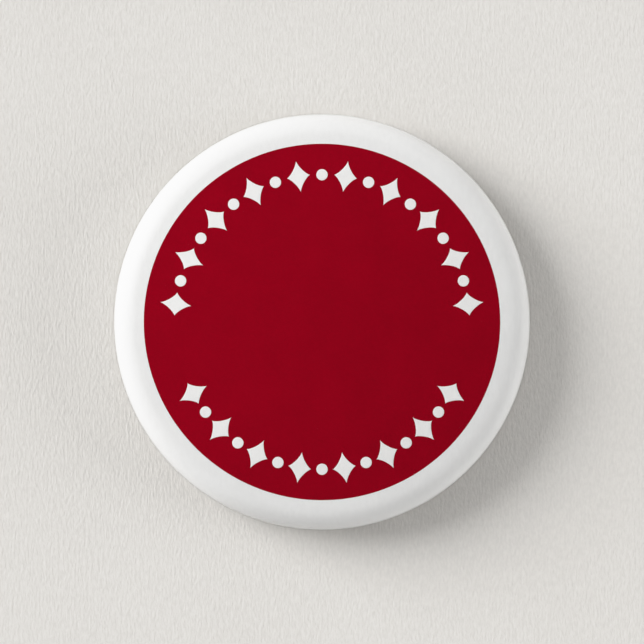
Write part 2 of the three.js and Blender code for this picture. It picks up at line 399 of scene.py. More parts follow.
def cap_finish(rgb):
    """Nickel-plated sheet cap: polished, with tumbling scratches both ways."""
    cap = Finish("nickel_sheet", Metallic=1.0)
    along = cap.ease(cap.noise(1300.0, squeeze=(0.35, 4.0, 4.0)), 0.60, 0.72)
    across = cap.ease(cap.noise(1200.0, squeeze=(4.0, 0.4, 4.0)), 0.62, 0.74)
    cloud = cap.noise(500.0, detail=3.0)
    cap.tint(cloud, rgb, dark=0.92, light=1.10)
    cap.drive("Roughness", 0.10 + cloud * 0.12 + along * 0.12 + across * 0.10)
    cap.bump(along * 0.5 + across * 0.5, 1.5e-6)
    return cap.material


def table_finish(rgb):
    """Pale uncoated paper: soft short fibres along Y and a fine tooth."""
    table = Finish("pale_table", Roughness=0.85, Specular_IOR_Level=0.2)
    fibre = table.noise(4600.0, squeeze=(1.0, 0.24, 1.0), detail=3.0, roughness=0.6)
    tooth = table.noise(5600.0, squeeze=(1.0, 0.45, 1.0))
    cloud = table.noise(90.0, detail=3.0)
    tone = table.ease(fibre * 0.45 + tooth * 0.4 + cloud * 0.15, 0.36, 0.64)
    table.tint(tone, rgb, dark=0.955, light=1.035)
    table.bump(fibre * 0.55 + tooth * 0.45, 6.0e-5)
    return table.material


# ---- Light ----

ALL_CHANNELS = 3  # place of the curve that red, green and blue share
BRIGHTEST = 2.5  # light that shows as pure white
SHOULDER = ((0.6, 0.6), (0.78, 0.775), (1.0, 0.925), (1.5, 0.985))  # light, and how it shows
ROOM_COLOUR = (1.0, 0.995, 0.985, 1.0)


def direction(bearing, elevation):
    """Towards a light, its bearing clockwise from the badge's top."""
    flat = math.cos(elevation)
    return Vector((math.sin(bearing) * flat, math.cos(bearing) * flat, math.sin(elevation)))


def studio_world(stage):
    """Light of a pale room, with a glow round the main light and the dark straight above."""
    world = bpy.data.worlds.new("pale_room")
    world.use_nodes = True
    room = Graph(world.node_tree)
    background = world.node_tree.nodes["Background"]
    view = room.node("ShaderNodeTexCoord").outputs["Generated"]
    height = room.value(room.node("ShaderNodeSeparateXYZ", None, {0: view}), 2)
    dark = room.ease(height, stage.dark_start, stage.dark_full)
    towards = direction(stage.key_bearing, stage.key_elevation)
    facing = room.node("ShaderNodeVectorMath", {"operation": "DOT_PRODUCT"}, {0: view, 1: towards})
    glow = room.ease(room.value(facing, "Value"), math.cos(stage.window_reach), 1.0)
    strength = stage.sky * (1.0 - dark * stage.darkness) + glow * stage.window
    background.inputs["Color"].default_value = ROOM_COLOUR
    world.node_tree.links.new(strength.socket, background.inputs["Strength"])
    return world


def soften_highlights(view):
    """True colours, with the brightest whites rolled off as a camera does."""
    view.view_transform = "Standard"
    view.use_curve_mapping = True
    view.curve_mapping.clip_max_x = BRIGHTEST
    tones = view.curve_mapping.curves[ALL_CHANNELS]
    tones.points[-1].location = (BRIGHTEST, 1.0)
    for light, shown in SHOULDER:
        tones.points.new(light, shown)
    view.curve_mapping.update()


def soft_light(name, spread, power, bearing, elevation):
    """A big, far, soft light; gloss shows the room's own glow instead of it."""
    lamp = bpy.data.lights.new(name, "SUN")
    lamp.angle, lamp.energy = spread, power
    made = bpy.data.objects.new(name, lamp)
    made.visible_glossy = False
    towards = direction(bearing, elevation)
    made.rotation_euler = towards.to_track_quat("Z", "Y").to_euler()
    bpy.context.scene.collection.objects.link(made)


# ---- Shapes ----


def piece(name, bm, materials):
    """An object from a bmesh, shaded smooth between sharp edges."""
    mesh = bpy.data.meshes.new(name)
    bm.to_mesh(mesh)
    bm.free()
    for material in materials:
        mesh.materials.append(material)
    mesh.shade_smooth()
    mesh.set_sharp_from_angle(angle=SHARP)
    made = bpy.data.objects.new(name, mesh)
    bpy.context.scene.collection.objects.link(made)
    return made


def fit(made, body, slot, *nodes):
    """Puts a finished piece on its body, in place of its plain solids."""
    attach(made, body)
    if nodes:
        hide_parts(*nodes)


def bake_modifiers(made):
    """Turns what the modifiers make into the object's own mesh, and removes them."""
    graph = bpy.context.evaluated_depsgraph_get()
    mesh = bpy.data.meshes.new_from_object(made.evaluated_get(graph), depsgraph=graph)
    made.modifiers.clear()
    spent, made.data = made.data, mesh
    bpy.data.meshes.remove(spent)
    mesh.shade_smooth()
    mesh.set_sharp_from_angle(angle=SHARP)


def give_wall(made, gauge):
    """Turns a surface into sheet of one gauge, laid on the side that its faces turn from."""
    solid = made.modifiers.new("Sheet Gauge", "SOLIDIFY")
    solid.thickness, solid.offset, solid.use_even_offset = gauge, -1.0, True
    bake_modifiers(made)


def spaced(first, last, steps):
    """Numbers from first to last in equal steps, ends included."""
    return [first + (last - first) * i / steps for i in range(steps + 1)]


def turns(count):
    """Angles once round in equal steps, the first of them 0."""
    return [2 * math.pi * i / count for i in range(count)]


def eased(share):
    """0 to 1 with a soft start and a soft end."""
    share = min(max(share, 0.0), 1.0)
    return share * share * (3.0 - 2.0 * share)


def join_rings(bm, rings):
    """Faces between rings of vertices of one length; a ring of one vertex is a pole."""
    for near, far in zip(rings, rings[1:]):
        for i in range(max(len(near), len(far))):
            corners = [near[i % len(near)], near[(i + 1) % len(near)]]
            corners += [far[(i + 1) % len(far)], far[i % len(far)]]
            bm.faces.new(list(dict.fromkeys(corners)))


def face_out(bm):
    """Points a closed solid's faces outwards."""
    bm.normal_update()
    if bm.calc_volume(signed=True) < 0:
        bmesh.ops.reverse_faces(bm, faces=bm.faces)


# ---- Skins ----

PLEAT_AT_CORNER = 0.45  # share of the pleats' height where the hem's corner ends
PLEAT_SHARPNESS = 1.6  # above 1, narrow pleats with wide valleys
FACE_STEPS = 15
EDGE_STEPS = 2  # from the printed disc's edge to the shoulder
SHOULDER_STEPS = 14
CORNER_STEPS = 10
HEM_STEPS = 5
FOLD_STEPS = 10


class Station(NamedTuple):
    """A point of the film's outer outline, its outward direction and how far the pleats reach it."""

    radius: float
    height: float
    out_radius: float
    out_height: float
    pleat: float = 0.0


def arc(centre_radius, centre_height, radius, angles, pleats=None):
    """Stations round a centre, at angles counted from straight outwards."""
    return [
        Station(
            centre_radius + radius * math.cos(angle),
            centre_height + radius * math.sin(angle),
            math.cos(angle),
            math.sin(angle),
            pleats[i] if pleats else 0.0,
        )
        for i, angle in enumerate(angles)
    ]


class Outline:
    """Where the badge's face, side and hem run, from the frame's film and the body's sizes."""

    def __init__(self, body):
        self.body = body
        self.shell_depth = body.film_gauge + body.paper_gauge + 2 * body.lay_gap
        self.fold_depth = self.shell_depth + body.shell_gauge / 2
        self.radius = FILM_HIGH.x
        self.rim_height = FILM_LOW.z
        self.lip_radius = self.radius - body.hem_reach
        self.corner_radius = self.radius - body.corner_radius
        self.crown_height = FILM_HIGH.z - body.crown_radius
        self.flange_height = self.rim_height + 2 * self.fold_depth + body.lay_gap

    def paper_depth(self):
        """Front of the paper below the front of the film."""
        return self.body.film_gauge + self.body.lay_gap

    def crown(self, disc_radius):
        """Stations of the domed face, one of them at the edge of the printed disc."""
        body = self.body
        shoulder = self.radius - body.shoulder_radius
        drop = math.sqrt((body.crown_radius - body.shoulder_radius) ** 2 - shoulder**2)
        tangent = math.atan2(drop, shoulder)
        edge = math.acos(disc_radius / (body.crown_radius - self.paper_depth()))
        angles = spaced(math.pi / 2, edge, FACE_STEPS) + spaced(edge, tangent, EDGE_STEPS)[1:]
        stations = arc(0.0, self.crown_height, body.crown_radius, angles)
        # The middle is an exact pole.
        stations[0] = stations[0]._replace(radius=0.0, out_radius=0.0, out_height=1.0)
        turn = spaced(tangent, 0.0, SHOULDER_STEPS)[1:]
        return stations + arc(shoulder, self.crown_height + drop, body.shoulder_radius, turn)

    def side(self):
        """Stations of the turn from the side into the hem, and of the flat hem."""
        corner = spaced(0.0, -math.pi / 2, CORNER_STEPS)
        rise = [PLEAT_AT_CORNER * eased(share) for share in spaced(0.0, 1.0, CORNER_STEPS)]
        height = self.rim_height + self.body.corner_radius
        turn = arc(self.corner_radius, height, self.body.corner_radius, corner, rise)
        radii = spaced(self.corner_radius, self.lip_radius, HEM_STEPS)
        flat = [
            Station(radius, self.rim_height, 0.0, -1.0, pleat)
            for radius, pleat in zip(radii, spaced(PLEAT_AT_CORNER, 1.0, HEM_STEPS))
        ]
        return turn + flat[1:]

    def fold(self):
        """Stations of the skins' fold round the shell's lip, and of the end tucked over it."""
        height = self.rim_height + self.fold_depth
        angles = spaced(-math.pi / 2, -3 * math.pi / 2, FOLD_STEPS)
        pleats = [1.0 - eased(share) for share in spaced(0.0, 1.0, FOLD_STEPS)]
        turn = arc(self.lip_radius, height, self.fold_depth, angles, pleats)
        end = self.corner_radius - self.body.tuck_gap
        return turn[1:] + [Station(end, height + self.fold_depth, 0.0, 1.0)]


def pleat_shape(angle, count):
    """Rise of the pleats round the hem, from 0 to 1, uneven as hand-cranked hems are."""
    # Whole numbers of slow waves spread the pleats unevenly, and make some of them lower.
    wander = 0.9 * math.sin(5 * angle) + 0.7 * math.sin(11 * angle + 1.0)
    strength = 0.62 + 0.22 * math.sin(7 * angle + 2.0) + 0.16 * math.sin(3 * angle)
    wave = 0.5 + 0.5 * math.cos(count * angle + wander)
    return strength * wave**PLEAT_SHARPNESS


def wall(bm, body, stations, depth):
    """Rings of vertices of one wall of a skin, at a depth below the film's outer surface."""
    rings = []
    for station in stations:
        if station.radius == 0.0:
            rings.append([bm.verts.new((0.0, 0.0, station.height - depth))])
            continue
        ring = []
        for angle in turns(body.segments):
            rise = body.pleat_height * station.pleat * pleat_shape(angle, body.pleats)
            radius = station.radius + station.out_radius * (rise - depth)
            height = station.height + station.out_height * (rise - depth)
            place = (radius * math.cos(angle), radius * math.sin(angle), height)
            ring.append(bm.verts.new(place))
        rings.append(ring)
    return rings


def skin(body, stations, depth, gauge):
    """A closed sheet of even gauge between two depths, as a bmesh."""
    bm = bmesh.new()
    outer = wall(bm, body, stations, depth)
    inner = wall(bm, body, stations, depth + gauge)
    join_rings(bm, outer + inner[::-1])
    face_out(bm)
    return bm


# ---- Sheet metal ----

MERGE = 1e-7  # points closer than this are one
ON_CUT = 1e-8  # points closer than this to a cut lie on it
STEP_BEND = 0.35 * MM  # radius of the bends of the plate's stamped step
ARCH_STEPS = 16
FLAT_STEPS = 9  # from the middle of the plate's flat to its edge
TRIANGLES_INSIDE = 1  # what delaunay_2d_cdt keeps
EDGE_CORNER_LOSS = 0.6  # radius that the cap's corners lose at its flat faces, in half thicknesses
GROOVE_HALF_WIDTH = 0.32 * MM  # of the crimp line pressed into the cap
GROOVE_END = 0.7 * MM  # cap's mouth or far end to the groove
GROOVE_FADE = 0.5 * MM  # length over which the groove gets its full depth
GROOVE_CUTS = (0.8 * MM, 0.9 * MM)  # cap's mouth, and its far end, to the cuts nearest to them
GROOVE_STEPS = 8
CAP_EDGE_STEPS = 12
CAP_CORNER_STEPS = 9


def filleted(points, radius, steps=5):
    """A polyline with its inner corners rounded, as (x, y) vectors."""
    made = [points[0]]
    for before, corner, after in zip(points, points[1:], points[2:]):
        first = (before - corner).normalized()
        second = (after - corner).normalized()
        half = first.angle(second) / 2
        reach = min(radius / math.tan(half), (before - corner).length / 2, (after - corner).length / 2)
        bend = reach * math.tan(half)
        centre = corner + (first + second).normalized() * bend / math.sin(half)
        start = corner + first * reach - centre
        whole = start.angle_signed(corner + second * reach - centre)
        for turn in spaced(0.0, whole, steps):
            cos, sin = math.cos(turn), math.sin(turn)
            # angle_signed counts clockwise.
            made.append(centre + Vector((start.x * cos + start.y * sin, start.y * cos - start.x * sin)))
    made.append(points[-1])
    return made


def settle(bm, order):
    """Merges shared points, and turns all faces so that the first of them by order looks rearwards."""
    bmesh.ops.remove_doubles(bm, verts=bm.verts, dist=MERGE)
    bmesh.ops.recalc_face_normals(bm, faces=bm.faces)
    if min(bm.faces, key=order).normal.z > 0:
        bmesh.ops.reverse_faces(bm, faces=bm.faces)
    return bm


def strap_centres(plate, pin):
    """Where the two straps stand along the fixed wire."""
    jog_start = CAP_LOW.x - pin.spine_jog
    reach = jog_start - plate.strap_jog_clearance - plate.strap_width / 2
    return (-reach, reach)


def strap_section(plate, pin, sheet_height):
    """The strap's rear surface as (Y, Z) points: a root, a leg tangent to the arch, and so back."""
    radius = pin.wire_diameter / 2 + plate.strap_play + plate.gauge
    foot = plate.strap_foot - plate.gauge
    rise = sheet_height - SPINE_AXIS.z
    bearing = math.atan2(rise, -foot)
    touch = bearing + math.acos(radius / math.hypot(rise, foot))
    arch = [
        Vector((math.cos(angle), math.sin(angle))) * radius
        for angle in spaced(touch, 3 * math.pi - touch, ARCH_STEPS)
    ]
    root = Vector((-plate.strap_foot, rise))
    bend = Vector((-foot, rise))
    entry = filleted([root, bend, arch[0]], plate.gauge)[:-1]
    half = entry + arch
    mirrored = [Vector((-point.x, point.y)) for point in reversed(entry)]
    return [point + Vector((SPINE_AXIS.y, SPINE_AXIS.z)) for point in half + mirrored]


def stamped_step(bm, outline, plate, dish_height):
    """Rings of the plate's rear surface, from the edge of its flat over the step to its rim."""
    inner_edge = outline.lip_radius - outline.fold_depth
    dish_radius = inner_edge - plate.ledge_width - plate.step_run
    path = [
        Vector((dish_radius - plate.step_run, dish_height)),
        Vector((dish_radius, dish_height)),
        Vector((dish_radius + plate.step_run, outline.flange_height)),
        Vector((PLATE_HIGH.x, outline.flange_height)),
    ]
    angles = turns(outline.body.segments // 2)
    rings = [
        [bm.verts.new((r * math.cos(angle), r * math.sin(angle), height)) for angle in angles]
        for r, height in filleted(path, STEP_BEND)
    ]
    join_rings(bm, rings)
    return rings


def over_window(plate, centres, spot, margin=0.0):
    """Whether a point of the plate's flat is over a strap's window, or within a margin of one."""
    reach = plate.strap_foot + margin
    half = plate.strap_width / 2 + plate.slit_width + margin
    beside = abs(spot.y - SPINE_AXIS.y) < reach
    return beside and any(abs(spot.x - centre) < half for centre in centres)


def dished_plate(bm, outline, plate, pin):
    """The plate's rear surface: a flat dish with a window under each strap, a step and a flange."""
    dish_height = PLATE_HIGH.z - plate.gauge
    flat_edge = stamped_step(bm, outline, plate, dish_height)[0]
    half = plate.strap_width / 2
    centres = strap_centres(plate, pin)
    near, far = SPINE_AXIS.y - plate.strap_foot, SPINE_AXIS.y + plate.strap_foot
    across = [half + plate.slit_width, half, -half, -half - plate.slit_width]
    loops = [[vert.co.xy for vert in flat_edge]]
    for centre in centres:
        loop = [Vector((centre + x, far)) for x in across]
        loops.append(loop + [Vector((centre + x, near)) for x in reversed(across)])
    points, edges = [], []
    for loop in loops:
        start = len(points)
        points += loop
        edges += [(start + i, start + (i + 1) % len(loop)) for i in range(len(loop))]

    # Rings of loose points, each with six more than the last, keep the flat's triangles even.
    step = points[0].length / FLAT_STEPS
    margin = step / 3
    for ring in range(1, FLAT_STEPS):
        for turn in spaced(0.0, 2 * math.pi, 6 * ring)[1:]:
            spot = Vector((math.cos(turn), math.sin(turn))) * (ring * step)
            if not over_window(plate, centres, spot, margin):
                points.append(spot)
    made = geometry.delaunay_2d_cdt(points, edges, [], TRIANGLES_INSIDE, MERGE)
    places, _, faces = made[:3]
    verts = [bm.verts.new((place.x, place.y, dish_height)) for place in places]
    for corners in faces:
        middle = sum((places[i] for i in corners), Vector((0.0, 0.0))) / len(corners)
        if not over_window(plate, centres, middle):
            bm.faces.new([verts[i] for i in corners])


def strap_strip(bm, section, centre, width):
    """One strap's rear surface, from root to root."""
    rows = [
        [bm.verts.new((centre + side * width / 2, y, z)) for side in (-1, 1)] for y, z in section
    ]
    for (a, b), (c, d) in zip(rows, rows[1:]):
        bm.faces.new((a, b, d, c))


def back_sheet(outline, plate, pin):
    """The plate and its straps as one open surface whose normals point to the rear."""
    bm = bmesh.new()
    dished_plate(bm, outline, plate, pin)
    section = strap_section(plate, pin, PLATE_HIGH.z - plate.gauge)
    for centre in strap_centres(plate, pin):
        strap_strip(bm, section, centre, plate.strap_width)
    return settle(bm, lambda face: -face.calc_center_median().xy.length)


def cut_lines(bm, axis, places):
    """Cuts a surface along planes square to an axis, X or Y."""
    for place in places:
        point, normal = Vector(), Vector()
        point["XY".index(axis)] = place
        normal["XY".index(axis)] = 1.0
        everything = bm.verts[:] + bm.edges[:] + bm.faces[:]
        bmesh.ops.bisect_plane(bm, geom=everything, plane_co=point, plane_no=normal, dist=ON_CUT)


def cap_surface(pin):
    """The cap's outer surface, open at its mouth."""
    half_width = (CAP_HIGH.y - CAP_LOW.y) / 2
    round_edge = CAP_HIGH.z / 2
    least = pin.cap_corner - round_edge * EDGE_CORNER_LOSS
    bm = bmesh.new()
    rings = []
    for angle in spaced(-math.pi / 2, math.pi / 2, CAP_EDGE_STEPS):
        inset = round_edge * (1 - math.cos(angle))
        height = round_edge * (1 + math.sin(angle))
        corner = max(pin.cap_corner - inset, least)
        end, side = CAP_HIGH.x - inset, half_width - inset
        turn = [
            Vector((end - corner + corner * math.cos(a), side - corner + corner * math.sin(a)))
            for a in spaced(0.0, math.pi / 2, CAP_CORNER_STEPS)
        ]
        upper = turn + [Vector((CAP_LOW.x, side))]
        lower = [Vector((point.x, -point.y)) for point in upper]
        outline = list(reversed(lower)) + upper
        rings.append([bm.verts.new((x, y, height)) for x, y in outline])
    for near, far in zip(rings, rings[1:]):
        for i in range(len(near) - 1):
            bm.faces.new((near[i], near[i + 1], far[i + 1], far[i]))
    for ring in (rings[0], rings[-1]):
        last = len(ring) - 1
        for i in range(last // 2):
            bm.faces.new((ring[i], ring[i + 1], ring[last - i - 1], ring[last - i]))
    return settle(bm, lambda face: face.calc_center_median().z)


def cut_cap(bm, pin):
    """Opens the needle's slot in the cap's rear face and presses the crimp beside the fixed wire."""
    needle_y = -SPINE_AXIS.y
    inner, lip = needle_y - pin.slot_inner_reach, needle_y + pin.lip_reach
    end = NEEDLE_HIGH.x + pin.slot_tip_clearance
    groove = (SPINE_AXIS.y + inner) / 2
    across = spaced(groove - GROOVE_HALF_WIDTH, groove + GROOVE_HALF_WIDTH, GROOVE_STEPS)
    along = spaced(CAP_LOW.x + GROOVE_CUTS[0], CAP_HIGH.x - GROOVE_CUTS[1], GROOVE_STEPS)
    cut_lines(bm, "Y", [inner, lip, *across])
    cut_lines(bm, "X", [end, *along])
    middle = CAP_HIGH.z / 2
    opened = []
    for face in bm.faces:
        x, y, z = face.calc_center_median()
        if x < end and inner < y < lip and z < middle:
            opened.append(face)
    bmesh.ops.delete(bm, geom=opened, context="FACES")
    half_length = (CAP_HIGH.x - CAP_LOW.x) / 2 - GROOVE_END
    centre = (CAP_HIGH.x + CAP_LOW.x) / 2
    for vert in bm.verts:
        nearness = 1 - abs(vert.co.y - groove) / GROOVE_HALF_WIDTH
        depth = (half_length - abs(vert.co.x - centre)) / GROOVE_FADE
        press = pin.crimp_depth * eased(nearness) * eased(depth)
        vert.co.z += press if vert.co.z < middle else -press


# ---- Wire ----

COIL_STEPS = 72
JOG_STEPS = 14
SHAFT_STEPS = 24
POINT_STEPS = 14


def sweep(centres, radii, sides=20, end_steps=5):
    """A closed round wire along centres, with a radius at each and rounded ends, as a bmesh."""
    tangents = []
    for i in range(len(centres)):
        before, after = centres[max(i - 1, 0)], centres[min(i + 1, len(centres) - 1)]
        tangents.append((after - before).normalized())
    side = tangents[0].orthogonal().normalized()
    stations = []
    for place, along, radius in zip(centres, tangents, radii):
        side = (side - along * side.dot(along)).normalized()
        stations.append((place, along, side, radius))

    def dome(station, sign):
        """Rings of the rounded end beyond a station, forwards or back along the wire."""
        place, along, out, radius = station
        for i in range(1, end_steps):
            angle = math.pi / 2 * i / end_steps
            offset = along * sign * radius * math.sin(angle)
            yield (place + offset, along, out, radius * math.cos(angle))

    stations = [*reversed(list(dome(stations[0], -1))), *stations, *dome(stations[-1], 1)]
    bm = bmesh.new()
    rings = []
    for place, along, out, radius in stations:
        up = along.cross(out)
        spokes = [out * math.cos(turn) + up * math.sin(turn) for turn in turns(sides)]
        rings.append([bm.verts.new(place + spoke * radius) for spoke in spokes])
    first = bm.verts.new(centres[0] - tangents[0] * radii[0])
    last = bm.verts.new(centres[-1] + tangents[-1] * radii[-1])
    join_rings(bm, [[first], *rings, [last]])
    face_out(bm)
    return bm


def coil_angle():
    """How far round the coil, from its foot on the fixed wire, the needle leaves it."""
    reach = NEEDLE_ROOT - COIL_CENTRE
    return 3 * math.pi - (math.pi / 2 - math.atan2(reach.y, -reach.x))


def coil_centres():
    """Middle of the coiled wire: half a turn high, half a turn stepping down, half a turn low."""
    radius, fall = COIL_CENTRE.y - SPINE_AXIS.y, NEEDLE_ROOT.z - SPINE_AXIS.z
    places = []
    for turn in spaced(0.0, coil_angle(), COIL_STEPS):
        angle = -math.pi / 2 - turn
        x, y = COIL_CENTRE.x + radius * math.cos(angle), COIL_CENTRE.y + radius * math.sin(angle)
        places.append(Vector((x, y, SPINE_AXIS.z + fall * eased((turn - math.pi) / math.pi))))
    return places


def spine_centres(pin):
    """Middle of the fixed wire, from the coil to its grip in the cap."""
    jog_start, low = CAP_LOW.x - pin.spine_jog, CAP_HIGH.z / 2
    places = [Vector((COIL_CENTRE.x, SPINE_AXIS.y, SPINE_AXIS.z))]
    for x in spaced(jog_start, CAP_LOW.x, JOG_STEPS):
        drop = eased((x - jog_start) / pin.spine_jog)
        places.append(Vector((x, SPINE_AXIS.y, SPINE_AXIS.z + (low - SPINE_AXIS.z) * drop)))
    places.append(Vector((SPINE_HIGH.x - pin.wire_diameter / 2, SPINE_AXIS.y, low)))
    return places


def needle_centres(pin):
    """Middle of the needle and its radius, from the coil to the ground point in the cap."""
    radius = pin.wire_diameter / 2
    base = Vector((NEEDLE_HIGH.x - pin.point_length, -SPINE_AXIS.y, CAP_HIGH.z / 2))
    root, reach = NEEDLE_ROOT, NEEDLE_ROOT - COIL_CENTRE
    outward = Vector((reach.y, -reach.x, 0.0)).normalized()
    third = (base - root).length / 3
    near, far = root + outward * third, base - Vector((third, 0.0, 0.0))
    shaft = [
        root * (1 - t) ** 3 + near * (3 * t * (1 - t) ** 2) + far * (3 * t * t * (1 - t)) + base * t**3
        for t in spaced(0.0, 1.0, SHAFT_STEPS)
    ]
    radii = [radius] * len(shaft)
    for share in spaced(0.0, 1.0, POINT_STEPS)[1:]:
        shaft.append(base + Vector(((pin.point_length - pin.tip_radius) * share, 0.0, 0.0)))
        taper = math.sqrt(1 - share**2)
        radii.append(pin.tip_radius + (radius - pin.tip_radius) * taper)
    return shaft, radii


# ---- Printed marks ----

# Middle bearing, span in degrees and number of marks of each of the two arcs.
MARK_ARCS = ((0.0, 166.0, 19), (180.0, 122.0, 15))
STAR_POWER = 2.6  # draws a star's sides in; 1 leaves them round, as a dot's are
INK_LIFT = 1.4  # middle of the ink above the sheet, in thicknesses of ink


def mark_points(artwork):
    """A point for each mark, with the figures that the marks' node tree reads from it."""
    star = (artwork.star_width, artwork.star_height, STAR_POWER)
    pearl = (artwork.pearl_size, artwork.pearl_size, 1.0)
    bearings, figures = [], []
    for middle, span, count in MARK_ARCS:
        for i in range(count):
            bearings.append(math.radians(middle + span * (i / (count - 1) - 0.5)))
            figures.append(pearl if i % 2 else star)
    mesh = bpy.data.meshes.new("printed_marks")
    mesh.from_pydata([(0.0, 0.0, 0.0)] * len(bearings), [], [])
    columns = {
        "bearing": bearings,
        "mark_width": [width for width, _, _ in figures],
        "mark_height": [height for _, height, _ in figures],
        "sharpness": [power for _, _, power in figures],
    }
    for name, values in columns.items():
        mesh.attributes.new(name, "FLOAT", "POINT").data.foreach_set("value", values)
    return mesh


class Marks(Graph):
    """Node tree that turns each point into a thin star or dot of ink on the domed sheet."""

    SIZES = ("Band Radius", "Sphere Radius", "Sphere Height", "Ink Thickness")

    def __init__(self, material):
        tree = bpy.data.node_groups.new("Printed Marks", "GeometryNodeTree")
        super().__init__(tree)
        face = tree.interface
        face.new_socket("Geometry", in_out="INPUT", socket_type="NodeSocketGeometry")
        face.new_socket("Geometry", in_out="OUTPUT", socket_type="NodeSocketGeometry")
        for name in self.SIZES:
            face.new_socket(name, in_out="INPUT", socket_type="NodeSocketFloat")
        self.inputs = self.node("NodeGroupInput")
        self.build(material)

    def named(self, name):
        """A figure stored on the geometry."""
        settings = {"data_type": "FLOAT"}
        return self.value(self.node("GeometryNodeInputNamedAttribute", settings, {"Name": name}))

    def store(self, shape, name, value):
        """A shape with a figure stored on each of its points."""
        inputs = {"Geometry": shape, "Name": name, "Value": value}
        settings = {"data_type": "FLOAT", "domain": "POINT"}
        return self.node("GeometryNodeStoreNamedAttribute", settings, inputs).outputs[0]

    def blank(self):
        """A ball that remembers where each of its points lies: round, outwards, and above or below."""
        ball = self.node("GeometryNodeMeshUVSphere", None, {"Segments": 48, "Rings": 8, "Radius": 1.0})
        position = self.node("GeometryNodeInputPosition").outputs[0]
        spot = self.node("ShaderNodeSeparateXYZ", None, {0: position})
        x, y, z = (self.value(spot, i) for i in range(3))
        shape = ball.outputs["Mesh"]
        shape = self.store(shape, "turn", self.maths("ARCTAN2", y, x))
        shape = self.store(shape, "reach", self.maths("SQRT", x * x + y * y))
        return self.store(shape, "side", self.maths("SIGN", self.maths("SNAP", z, 0.01)))

    def lobe(self, swing, sharpness):
        """A sine or cosine raised to the mark's sharpness, its sign kept."""
        return self.maths("SIGN", swing) * self.maths("ABSOLUTE", swing) ** sharpness

    def build(self, material):
        """A ball at each point, flattened to its star or dot and laid on the dome."""
        sizes = {name: self.value(self.inputs, name) for name in self.SIZES}
        points = {"Points": self.inputs.outputs["Geometry"], "Instance": self.blank()}
        placed = self.node("GeometryNodeInstanceOnPoints", None, points)
        real = self.node("GeometryNodeRealizeInstances", None, {0: placed.outputs[0]})
        turn, reach, sharpness = (self.named(n) for n in ("turn", "reach", "sharpness"))
        across = self.lobe(self.maths("COSINE", turn), sharpness) * reach * self.named("mark_width") / 2
        outward = self.lobe(self.maths("SINE", turn), sharpness) * reach * self.named("mark_height") / 2
        bearing = self.named("bearing")
        sine, cosine = self.maths("SINE", bearing), self.maths("COSINE", bearing)
        radius = sizes["Band Radius"] + outward
        x = radius * sine + across * cosine
        y = radius * cosine - across * sine
        sphere = sizes["Sphere Radius"]
        dome = self.maths("SQRT", sphere * sphere - x * x - y * y)
        depth = sizes["Ink Thickness"] * (INK_LIFT + self.named("side") * 0.5)
        z = sizes["Sphere Height"] + dome + depth
        place = self.node("ShaderNodeCombineXYZ", None, {0: x, 1: y, 2: z})
        moved = self.node(
            "GeometryNodeSetPosition", None, {"Geometry": real.outputs[0], "Position": place.outputs[0]}
        )
        done = self.node(
            "GeometryNodeSetMaterial", None, {"Geometry": moved.outputs[0], "Material": material}
        )
        self.node("NodeGroupOutput", None, {"Geometry": done.outputs[0]})


# ---- Operators ----


class BADGE_OT_film(bpy.types.Operator):
    """Clear film over the print, pleated where it turns in and folded round the shell's lip"""

    bl_idname = "badge.film"
    bl_label = "Film Cover"

    def execute(self, context):
        body = context.scene.badge_body
        outline = Outline(body)
        stations = outline.crown(context.scene.badge_print.disc_radius)
        stations += outline.side() + outline.fold()
        made = piece("clear_film_cover", skin(body, stations, 0.0, body.film_gauge), [film_finish()])
        fit(made, "root", "clear_film", "film_cover")
        return {"FINISHED"}


class BADGE_OT_print(bpy.types.Operator):
    """White coated sheet with its printed disc, wrapped under the film"""

    bl_idname = "badge.print_sheet"
    bl_label = "Printed Sheet"

    def execute(self, context):
        body, artwork = context.scene.badge_body, context.scene.badge_print
        outline = Outline(body)
        stations = outline.crown(artwork.disc_radius) + outline.side() + outline.fold()
        depth = outline.paper_depth()
        bm = skin(body, stations, depth, body.paper_gauge)
        for face in bm.faces:
            middle = face.calc_center_median()
            in_front = face.normal.z > 0 and middle.z > FILM_HIGH.z / 2
            face.material_index = int(in_front and middle.xy.length < artwork.disc_radius)
        paper = paper_finish("coated_paper", artwork.paper_colour)
        made = piece("printed_sheet", bm, [paper, ink_finish(artwork.disc_colour)])
        fit(made, "root", "printed_paper", "print_sheet")
        return {"FINISHED"}


class BADGE_OT_marks(bpy.types.Operator):
    """Two arcs of printed stars and dots on the disc"""

    bl_idname = "badge.marks"
    bl_label = "Printed Marks"

    def execute(self, context):
        body, artwork = context.scene.badge_body, context.scene.badge_print
        outline = Outline(body)
        made = bpy.data.objects.new("printed_marks", mark_points(artwork))
        context.scene.collection.objects.link(made)
        white = paper_finish("white_ink", artwork.mark_colour)
        modifier = made.modifiers.new("Marks", "NODES")
        modifier.node_group = Marks(white).tree
        sizes = {
            "Band Radius": artwork.band_radius,
            "Sphere Radius": body.crown_radius - outline.paper_depth(),
            "Sphere Height": outline.crown_height,
            "Ink Thickness": artwork.ink_thickness,
        }
        for item in modifier.node_group.interface.items_tree:
            if item.in_out == "INPUT" and item.name in sizes:
                modifier[item.identifier] = sizes[item.name]
        bake_modifiers(made)
        fit(made, "root", "printed_paper")
        return {"FINISHED"}


